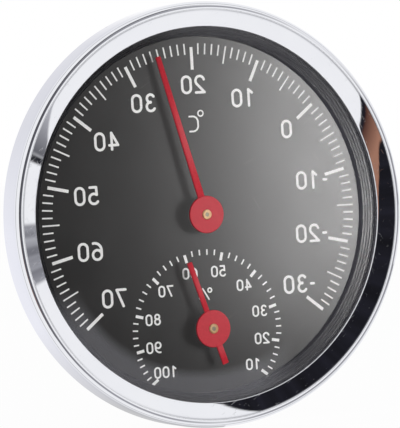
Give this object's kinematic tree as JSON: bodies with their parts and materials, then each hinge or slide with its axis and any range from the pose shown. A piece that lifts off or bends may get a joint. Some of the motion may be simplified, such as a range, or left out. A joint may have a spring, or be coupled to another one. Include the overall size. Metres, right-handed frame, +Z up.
{
  "type": "dial thermo-hygrometer",
  "caption": "Round wall thermometer and hygrometer: chromed bezel, flat lens, black dial, two red coil-driven pointers, keyhole hanger.",
  "frame": {"origin": "centre of the case's flat back, where it lies on the wall", "axes": "+Y out of the back into the wall, +Z up as it hangs, so the dial faces -Y; +X is to the reader's right"},
  "size_m": [0.075, 0.0221, 0.075],
  "materials": {
    "chrome": "polished",
    "lens_glass": "clear polished",
    "spacer_gloss_black": "glossy",
    "dial_black": "satin",
    "white_ink": "printed ink, matt",
    "pointer_red": "satin enamel",
    "brass": "turned",
    "steel": "drawn",
    "bimetal": "rolled strip",
    "coated_strip": "strip with a moisture-taking coat",
    "case_black": "moulded, fine matt"
  },
  "bodies": {
    "case": {"case_back": "case_black", "bezel_ring": "chrome", "lens": "lens_glass", "spacer_ring": "spacer_gloss_black", "dial_plate": "dial_black", "temp_marks": "white_ink", "temp_numbers": "white_ink", "celsius_sign": "white_ink", "humidity_marks": "white_ink", "humidity_numbers": "white_ink", "percent_sign": "white_ink", "movement_plate": "steel", "movement_screws": "steel", "temp_bush": "brass", "humidity_bush": "brass", "hanger_plate": "steel", "hanger_rivets": "steel"},
    "temp_adjuster": {"temp_adjuster": "brass", "temp_adjuster_clip": "steel"},
    "temp_pointer": {"temp_pointer": "pointer_red", "temp_eyelet": "brass", "temp_shaft": "steel", "temp_collet": "brass", "temp_coil": "bimetal"},
    "humidity_adjuster": {"humidity_adjuster": "brass", "humidity_adjuster_clip": "steel"},
    "humidity_pointer": {"humidity_pointer": "pointer_red", "humidity_eyelet": "brass", "humidity_shaft": "steel", "humidity_collet": "brass", "humidity_coil": "coated_strip"}
  },
  "joints": [
    {"name": "temp_setting", "type": "hinge", "parent": "case", "child": "temp_adjuster", "pos_m": [0, -0.003, 0], "axis": [0, 1, 0], "range_deg": [-8, 8]},
    {"name": "temp_reading", "type": "hinge", "parent": "temp_adjuster", "child": "temp_pointer", "pos_m": [0, -0.013, 0], "axis": [0, 1, 0], "range_deg": [-114.3, 143.5], "stiffness_Nm_per_rad": 0.005, "deforming": ["temp_coil"]},
    {"name": "humidity_setting", "type": "hinge", "parent": "case", "child": "humidity_adjuster", "pos_m": [0, -0.003, -0.0202], "axis": [0, 1, 0], "range_deg": [-15, 15]},
    {"name": "humidity_reading", "type": "hinge", "parent": "humidity_adjuster", "child": "humidity_pointer", "pos_m": [0, -0.013, -0.0202], "axis": [0, 1, 0], "range_deg": [-109.5, 145.5], "stiffness_Nm_per_rad": 0.002, "deforming": ["humidity_coil"]}
  ]
}
